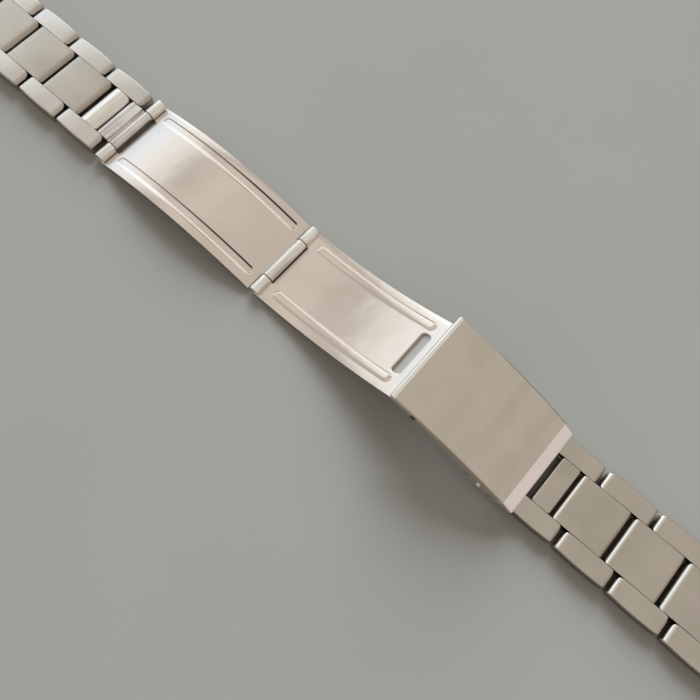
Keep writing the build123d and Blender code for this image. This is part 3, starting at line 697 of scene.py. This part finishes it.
def makeCover():
    radius = cover["radius"]
    tilt = angleFrom(centreC, hingeAt, True) - (-cover["length"] / 2 + cover["hinge"]) / radius
    lipU, kneeU, endU = -cover["length"] / 2, cover["length"] / 2 - cover["bevel"], cover["length"] / 2
    cornerU = cover["length"] / 2 - cover["inset"]
    depthEnd = radius + centreC[1] / cos(cornerU / radius + tilt)
    turn = radians(cover["turn"])

    def top(u, down):  # point of the side view, down below the outside of the top
        angle = min(u, kneeU) / radius + tilt
        x, z = onArc(centreC, angle, radius - down, True)
        if u > kneeU:
            slope = kneeU / radius + tilt + turn
            kneeX, kneeZ = onArc(centreC, angle, radius, True)
            x = kneeX + (u - kneeU) * cos(slope) - down * sin(slope)
            z = kneeZ - (u - kneeU) * sin(slope) - down * cos(slope)
        return x, z

    lowLip = top(lipU, cover["depthLip"])
    corner = onArc(centreC, cornerU / radius + tilt, radius - depthEnd, True)
    end = top(endU, cover["endDrop"])

    def lowEdge(u):  # the walls' lower edge, straight from the lip to the corner and on to the strip's end
        if u <= cornerU:
            t = (u - lipU) / (cornerU - lipU)
            return lowLip[0] + t * (corner[0] - lowLip[0]), lowLip[1] + t * (corner[1] - lowLip[1])
        t = (u - cornerU) / (endU - cornerU)
        return corner[0] + t * (end[0] - corner[0]), corner[1] + t * (end[1] - corner[1])

    half, ease = cover["width"] / 2, cover["ease"]
    drop, groove, wide = cover["drop"], cover["groove"], cover["grooveWide"]
    turns = [radians(a) for a in (0, 18, 36, 54, 72, 90)]
    section = [(half - ease + ease * sin(t), ease - ease * cos(t)) for t in turns]
    section += [(half, drop - 0.02), (half - groove, drop + 0.02)]
    section += [(half - groove, drop + wide - 0.02), (half, drop + wide + 0.02)]
    rows = cover["rows"]  # down each wall below the groove
    vs = list(range(-len(section) - rows + 1, len(section) + rows))

    def place(u, v):
        side = 1 if v > 0 else -1
        k = abs(v) - 1
        if v == 0:
            y, down = 0.0, 0.0
        elif k < len(section):
            y, down = section[k]
            if u > kneeU and k > 5:  # the groove ends at the strip
                y, down = half, min(down, cover["stripDeep"])
        else:
            share = (k - len(section) + 1) / rows
            a, b = top(u, section[-1][1] if u <= kneeU else cover["stripDeep"]), lowEdge(u)
            return a[0] + share * (b[0] - a[0]), side * half, a[1] + share * (b[1] - a[1])
        x, z = top(u, down)
        return x, side * y, z

    def creaseShade(u, v):  # painted shade at the bottom of the groove, and a painted dark line along the far edge's ease
        if v - 1 in (2, 3, 4, 5):
            return 0.75 * min(max((u + 7) / 4, 0.0), 1.0)
        return 0.85 if abs(v) - 1 in (len(section) - 3, len(section) - 2) and u < kneeU else 0.0

    us = merged(spread(lipU, cornerU, 0.7), [kneeU], spread(cornerU, endU, 0.3))
    shell = asObject(sheetGrid(us, vs, place, (), creaseShade), "cover.folded")
    thicken(shell, cover["sheet"])
    soften(shell, cover["edge"], 2, 40)
    bake(shell)
    tools = bmesh.new()
    for k in range(cover["holes"]):
        at = (endU - cover["first"] - k * cover["step"]) / radius + tilt
        x, z = onArc(centreC, at, radius - cover["holeDrop"], True)
        rod(tools, x, z, cover["hole"], -half - 1, half + 1, 0.01)
    carve(shell, asObject(tools, "holes"))
    mesh = shell.data
    # the side walls take the paler copy, a painted reflection
    for name in ("brushedCover", "polishedStrip", "polishedWallsPaintedLight"):
        mesh.materials.append(metal[name])
    kneeX = top(kneeU, 0)[0]
    for face in mesh.polygons:
        centre = face.center
        if face.normal.z > 0.6 and centre.x > (kneeX + 0.03) * mm and abs(centre.y) < (half - 0.05) * mm:
            face.material_index = 1
        elif abs(face.normal.y) > 0.6 and abs(centre.y) > (half - 0.3) * mm:
            face.material_index = 2
    x, z = onArc(centreC, lipU / radius + tilt, radius + cover["rise"] - cover["lip"], True)
    bm = bmesh.new()
    rod(bm, x, z, cover["lip"], -half, half, cover["lipEase"])
    return shell, bake(asObject(bm, "cover.lip"))


coverShell, coverLip = makeCover()
settle(coverShell, metal["brushedCover"], "clasp_cover")
settle(coverLip, metal["polishedLip"], "clasp_cover")
print("cover folded, with its lip")

joiner = {
    "barrel": 1.05, "under": 0.55, "drop": 0.08, "groove": 0.3, "grooveDeep": 0.1, "slope": 0.12, "ease": 0.07,
}


def makeConnector():
    (left, z), right = pivots["left_0_flex"], chainAt[0]
    r, under = joiner["barrel"], joiner["under"]
    bend = degrees(asin(under / r))
    flatTo = right - r - joiner["groove"]
    flat = r - joiner["drop"]
    rise = degrees(asin(flat / r))
    outline = arc(left, z, r, 180, rise, 12)
    outline += [(flatTo - joiner["slope"], z + flat), (flatTo, z + flat - joiner["grooveDeep"])]
    outline += [(flatTo, z + under)]
    outline += arc(right, z, r, 180 - bend, -180 + bend, 34)
    outline += arc(left, z, r, -bend, -179, 18)
    bm = bmesh.new()
    half = link["centre"] / 2
    side = bm.faces.new([bm.verts.new(Vector((x, -half, pz)) * mm) for x, pz in outline])
    for vert in pulledOn(bm, side).verts:
        vert.co.y = half * mm
    made = bake(soften(asObject(bm, "connector.folded"), joiner["ease"]))
    return settle(made, metal["brushedConnector"], "connector")


makeConnector()
print("connector folded")

plain = {
    "adjuster_strap": "brushedLinks", "spring_bar_tip_back": "polishedLip", "spring_bar_tip_front": "polishedLip",
}
fromCad = 0  # pieces that keep the CAD's own shape
for node, made in frame["nodes"].items():
    finish = plain.get(node)
    if node.endswith("end_link"):
        finish = "brushedLinks"
    elif node.endswith(("_pins", "_pin", "bar_tube", "bar_spring")):
        finish = "plainPins"
    if finish:
        made.data.materials.clear()
        made.data.materials.append(metal[finish])
        fromCad += 1
print("kept from the CAD:", fromCad)

table = {
    "half": 1300, "low": (0.375, 0.377, 0.358), "high": (0.417, 0.416, 0.40), "rough": 0.62, "specular": 0.1,
}
tablePaint = Paint(bpy.data.materials.new("paleTable"))
cloudy = tablePaint.noise((0.02, 0.02, 0.02), 4.0)
speck = tablePaint.noise((1.6, 1.6, 1.6), 3.0)
tableMaterial = tablePaint.finish(
    Base_Color=tablePaint.mix(cloudy, table["low"], table["high"]),
    Roughness=(table["rough"] + (speck - 0.5) * 0.15).clamp(),
    Specular_IOR_Level=table["specular"],
    Normal=tablePaint.bump(speck, 0.05, 0.05),
)
bm = bmesh.new()
bmesh.ops.create_grid(bm, x_segments=1, y_segments=1, size=table["half"] * mm)
tableTop = asObject(bm, "table")
tableTop.data.materials.append(tableMaterial)

daylight = {
    "backdrop": (0.70, 0.665, 0.60), "glow": (0.90, 0.85, 0.78), "frame": (0.16, 0.13, 0.10),
    "near": (0.20, 0.16, 0.12), "dim": (0.83, 0.76, 0.68, 1), "dimLevel": 0.5,
}
room = Paint(bpy.data.worlds.new("room"))
bpy.context.scene.world = room.owner
path = room.node("ShaderNodeLightPath")
rays = [Wire(room, path.outputs[f"Is {ray} Ray"]) for ray in ("Camera", "Glossy", "Transmission")]
direct, mirrored, through = rays
heading = Wire(room, room.texture.outputs["Generated"])
headX, headY, headZ = [room.split(heading, axis) for axis in "XYZ"]


def skyBand(height, flat, sharp, side, share):  # a level band in the steel's reflections, on the -X side
    return (flat - room.unsigned(headZ - height) * sharp).clamp() * (headX * side).clamp() * mirrored * share


nearSide = ((headY * -1.0 - 0.2) * 2.0).clamp() * (1.25 - headZ * 1.7).clamp() * mirrored
frameBar = skyBand(0.75, 1.5, 27.0, -3.0, 0.5)  # dark, above the window
glow = skyBand(0.875, 1.4, 20.0, -4.0, 0.9)  # bright, higher up
backdrop = room.mix(glow, daylight["backdrop"], daylight["glow"])
backdrop = room.mix(frameBar, backdrop, daylight["frame"])
backdrop = room.mix(nearSide, backdrop, daylight["near"])
dim = room.node("ShaderNodeBackground", None, {"Color": daylight["dim"], "Strength": daylight["dimLevel"]})
pale = room.node("ShaderNodeBackground", None, {"Color": backdrop, "Strength": 1.0})
both = {0: (direct + mirrored + through).clamp(), 1: Wire(room, dim.outputs[0]), 2: Wire(room, pale.outputs[0])}
shown = room.node("ShaderNodeMixShader", None, both)
room.node("ShaderNodeOutputWorld", None, {"Surface": Wire(room, shown.outputs[0])})

lamps = {  # places and sizes in metres; the mirrored ones are seen in the steel, the other lights the table
    "key": {
        "place": (-2.4, 3.2, 2.0), "size": (3.2, 2.8), "power": 275.0,
        "colour": (0.91, 0.965, 1.0), "mirrored": False,
    },
    "lowPane": {
        "place": (-0.72, 0.248, 0.25), "size": (0.8, 0.34), "power": 0.54,
        "colour": (0.29, 0.65, 1.0), "mirrored": True,
    },
    "highPane": {
        "place": (-0.612, 0.211, 0.470), "size": (0.8, 0.26), "power": 0.38,
        "colour": (0.85, 0.95, 1.0), "mirrored": True,
    },
    "screen": {
        "place": (-0.42, 0.78, 0.27), "size": (1.2, 0.42), "power": 0.85,
        "colour": (1.0, 0.98, 0.95), "mirrored": True,
    },
}


def panel(name, place, size, power, colour, mirrored):  # a soft rectangle turned to the object
    lamp = bpy.data.lights.new(name, "AREA")
    lamp.shape = "RECTANGLE"
    lamp.size, lamp.size_y = size
    lamp.energy = power
    lamp.color = colour
    made = bpy.data.objects.new(name, lamp)
    made.location = place
    made.rotation_euler = (-Vector(place)).to_track_quat("-Z", "Y").to_euler()
    made.visible_glossy = mirrored
    made.visible_diffuse = not mirrored
    bpy.context.scene.collection.objects.link(made)


for name, lamp in lamps.items():
    panel(name, **lamp)
print("table, room and lamps set")

eye = {  # focal length in pixels of a square picture, turns in radians, place in millimetres
    "focal": 678.6083, "picture": 700, "sensor": 36.0,
    "turn": (2.8915, 0.1697, 0.7048), "at": (32.2412, -32.7856, 111.0654),
}


def turnFrom(rx, ry, rz):
    return Matrix.Rotation(rz, 3, "Z") @ Matrix.Rotation(ry, 3, "Y") @ Matrix.Rotation(rx, 3, "X")


lens = bpy.data.cameras.new("photo")
lens.sensor_width = eye["sensor"]
lens.lens = eye["focal"] / eye["picture"] * eye["sensor"]
lens.clip_start = 0.001
lens.clip_end = 10
viewer = bpy.data.objects.new("photo", lens)
facing = turnFrom(*eye["turn"]).transposed() @ Matrix(((1, 0, 0), (0, -1, 0), (0, 0, -1)))
viewer.matrix_world = Matrix.Translation(Vector(eye["at"]) * mm) @ facing.to_4x4()
bpy.context.scene.collection.objects.link(viewer)
bpy.context.scene.camera = viewer
bpy.context.scene.view_settings.view_transform = "Standard"
print("camera set")
